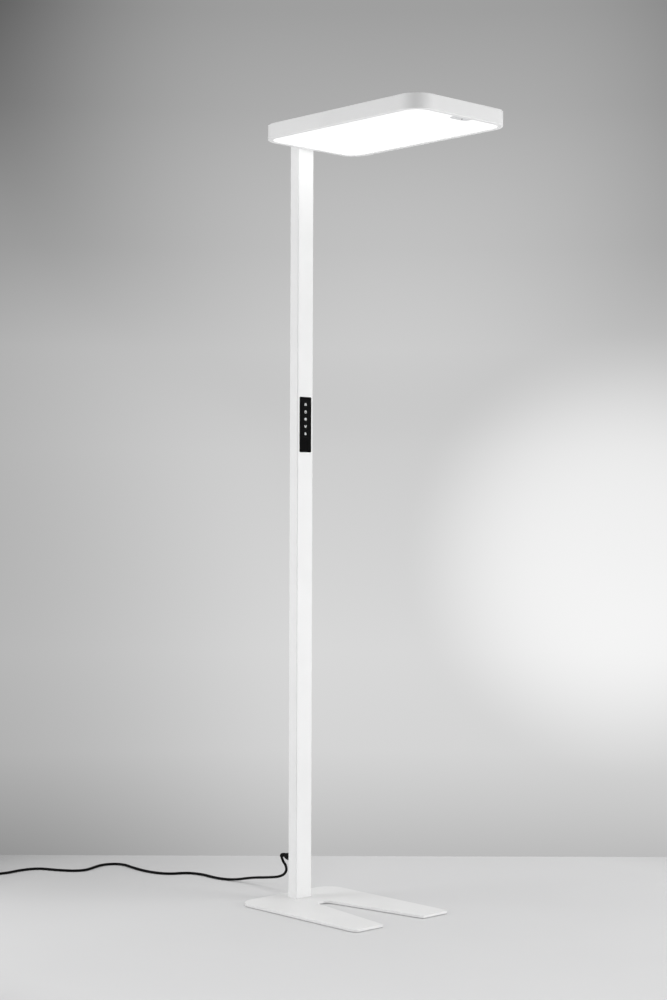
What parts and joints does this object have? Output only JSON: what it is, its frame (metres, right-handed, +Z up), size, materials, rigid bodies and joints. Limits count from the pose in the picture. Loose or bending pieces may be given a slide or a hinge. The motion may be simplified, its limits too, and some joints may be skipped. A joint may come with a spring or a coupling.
{
  "type": "led floor lamp",
  "caption": "Tall office floor lamp: a flat rounded rectangular LED head on a rectangular pole, with a key strip on the pole and a notched flat steel foot.",
  "frame": {"origin": "on the floor, under the middle of the lamp as measured without its mains cord", "axes": "+Z up, -Y the way that the lamp faces, so the head lies towards -Y from the pole, +X to the right of someone who looks along +Y at its keys"},
  "size_m": [0.7521, 1.5061, 1.95],
  "materials": {
    "white_painted_steel": "white powder coat on steel",
    "white_painted_aluminium": "white powder coat on aluminium",
    "white_plastic": "moulded white plastic",
    "opal_diffuser": "opal sheet, evenly lit from above",
    "clear_guide": "clear acrylic",
    "frosted_window": "clear acrylic with a fine frost",
    "white_foil": "white reflecting foil",
    "bare_aluminium": "mill-finish aluminium",
    "driver_case": "plain white driver case",
    "zinc_steel": "zinc-plated steel",
    "white_board": "white solder-masked circuit board with LEDs",
    "green_board": "green circuit board",
    "sensor_grey": "moulded light grey plastic",
    "dark_lens": "dark infrared lens",
    "grey_window": "grey light sensor window",
    "black_panel": "satin black panel",
    "black_key": "satin black key with a white icon",
    "switch_plastic": "switch body plastic",
    "black_plastic": "moulded black plastic",
    "black_rubber": "soft black rubber or flexible vinyl",
    "inner_cable": "white cable sheath",
    "plated_pins": "nickel-plated brass",
    "pad_felt": "dark grey felt"
  },
  "bodies": {
    "lamp": {"base_plate": "white_painted_steel", "pole_profile": "white_painted_aluminium", "head_frame": "white_painted_aluminium", "top_cover": "white_painted_aluminium", "neck_spacer": "white_painted_aluminium", "pole_top_cap": "white_plastic", "downlight_diffuser": "opal_diffuser", "light_guide": "clear_guide", "uplight_window": "frosted_window", "reflector_sheet": "white_foil", "chassis_plate": "bare_aluminium", "uplight_tray": "bare_aluminium", "pole_top_insert": "bare_aluminium", "led_driver": "driver_case", "head_bracket": "zinc_steel", "support_pillars": "zinc_steel", "base_screws": "zinc_steel", "bracket_screws": "zinc_steel", "chassis_screws": "zinc_steel", "driver_screws": "zinc_steel", "tray_screws": "zinc_steel", "cover_screws": "zinc_steel", "edge_led_strips": "white_board", "uplight_led_boards": "white_board", "keypad_board": "green_board", "sensor_board": "green_board", "sensor_housing": "sensor_grey", "sensor_lens": "dark_lens", "daylight_window": "grey_window", "control_bezel": "black_panel", "key_switches": "switch_plastic", "keypad_housing": "switch_plastic", "inlet_socket": "black_plastic", "mains_plug": "black_plastic", "cord_connector": "black_plastic", "terminal_boot": "black_rubber", "cable_grommet": "black_rubber", "connector_relief": "black_rubber", "mains_cord": "black_rubber", "mains_cord_coil": "black_rubber", "mains_cord_tail": "black_rubber", "plug_relief": "black_rubber", "supply_cable": "inner_cable", "control_cable": "inner_cable", "sensor_cable": "inner_cable", "inlet_pins": "plated_pins", "plug_pins": "plated_pins", "glide_pads": "pad_felt"},
    "key_1": {"key_1": "black_key", "switch_plunger_1": "switch_plastic"},
    "key_2": {"key_2": "black_key", "switch_plunger_2": "switch_plastic"},
    "key_3": {"key_3": "black_key", "switch_plunger_3": "switch_plastic"},
    "key_4": {"key_4": "black_key", "switch_plunger_4": "switch_plastic"},
    "key_5": {"key_5": "black_key", "switch_plunger_5": "switch_plastic"}
  },
  "joints": [
    {"name": "key_1_press", "type": "slide", "parent": "lamp", "child": "key_1", "axis": [0, 1, 0], "range_m": [0, 0.0005], "stiffness_N_per_m": 800},
    {"name": "key_2_press", "type": "slide", "parent": "lamp", "child": "key_2", "axis": [0, 1, 0], "range_m": [0, 0.0005], "stiffness_N_per_m": 800},
    {"name": "key_3_press", "type": "slide", "parent": "lamp", "child": "key_3", "axis": [0, 1, 0], "range_m": [0, 0.0005], "stiffness_N_per_m": 800},
    {"name": "key_4_press", "type": "slide", "parent": "lamp", "child": "key_4", "axis": [0, 1, 0], "range_m": [0, 0.0005], "stiffness_N_per_m": 800},
    {"name": "key_5_press", "type": "slide", "parent": "lamp", "child": "key_5", "axis": [0, 1, 0], "range_m": [0, 0.0005], "stiffness_N_per_m": 800}
  ]
}
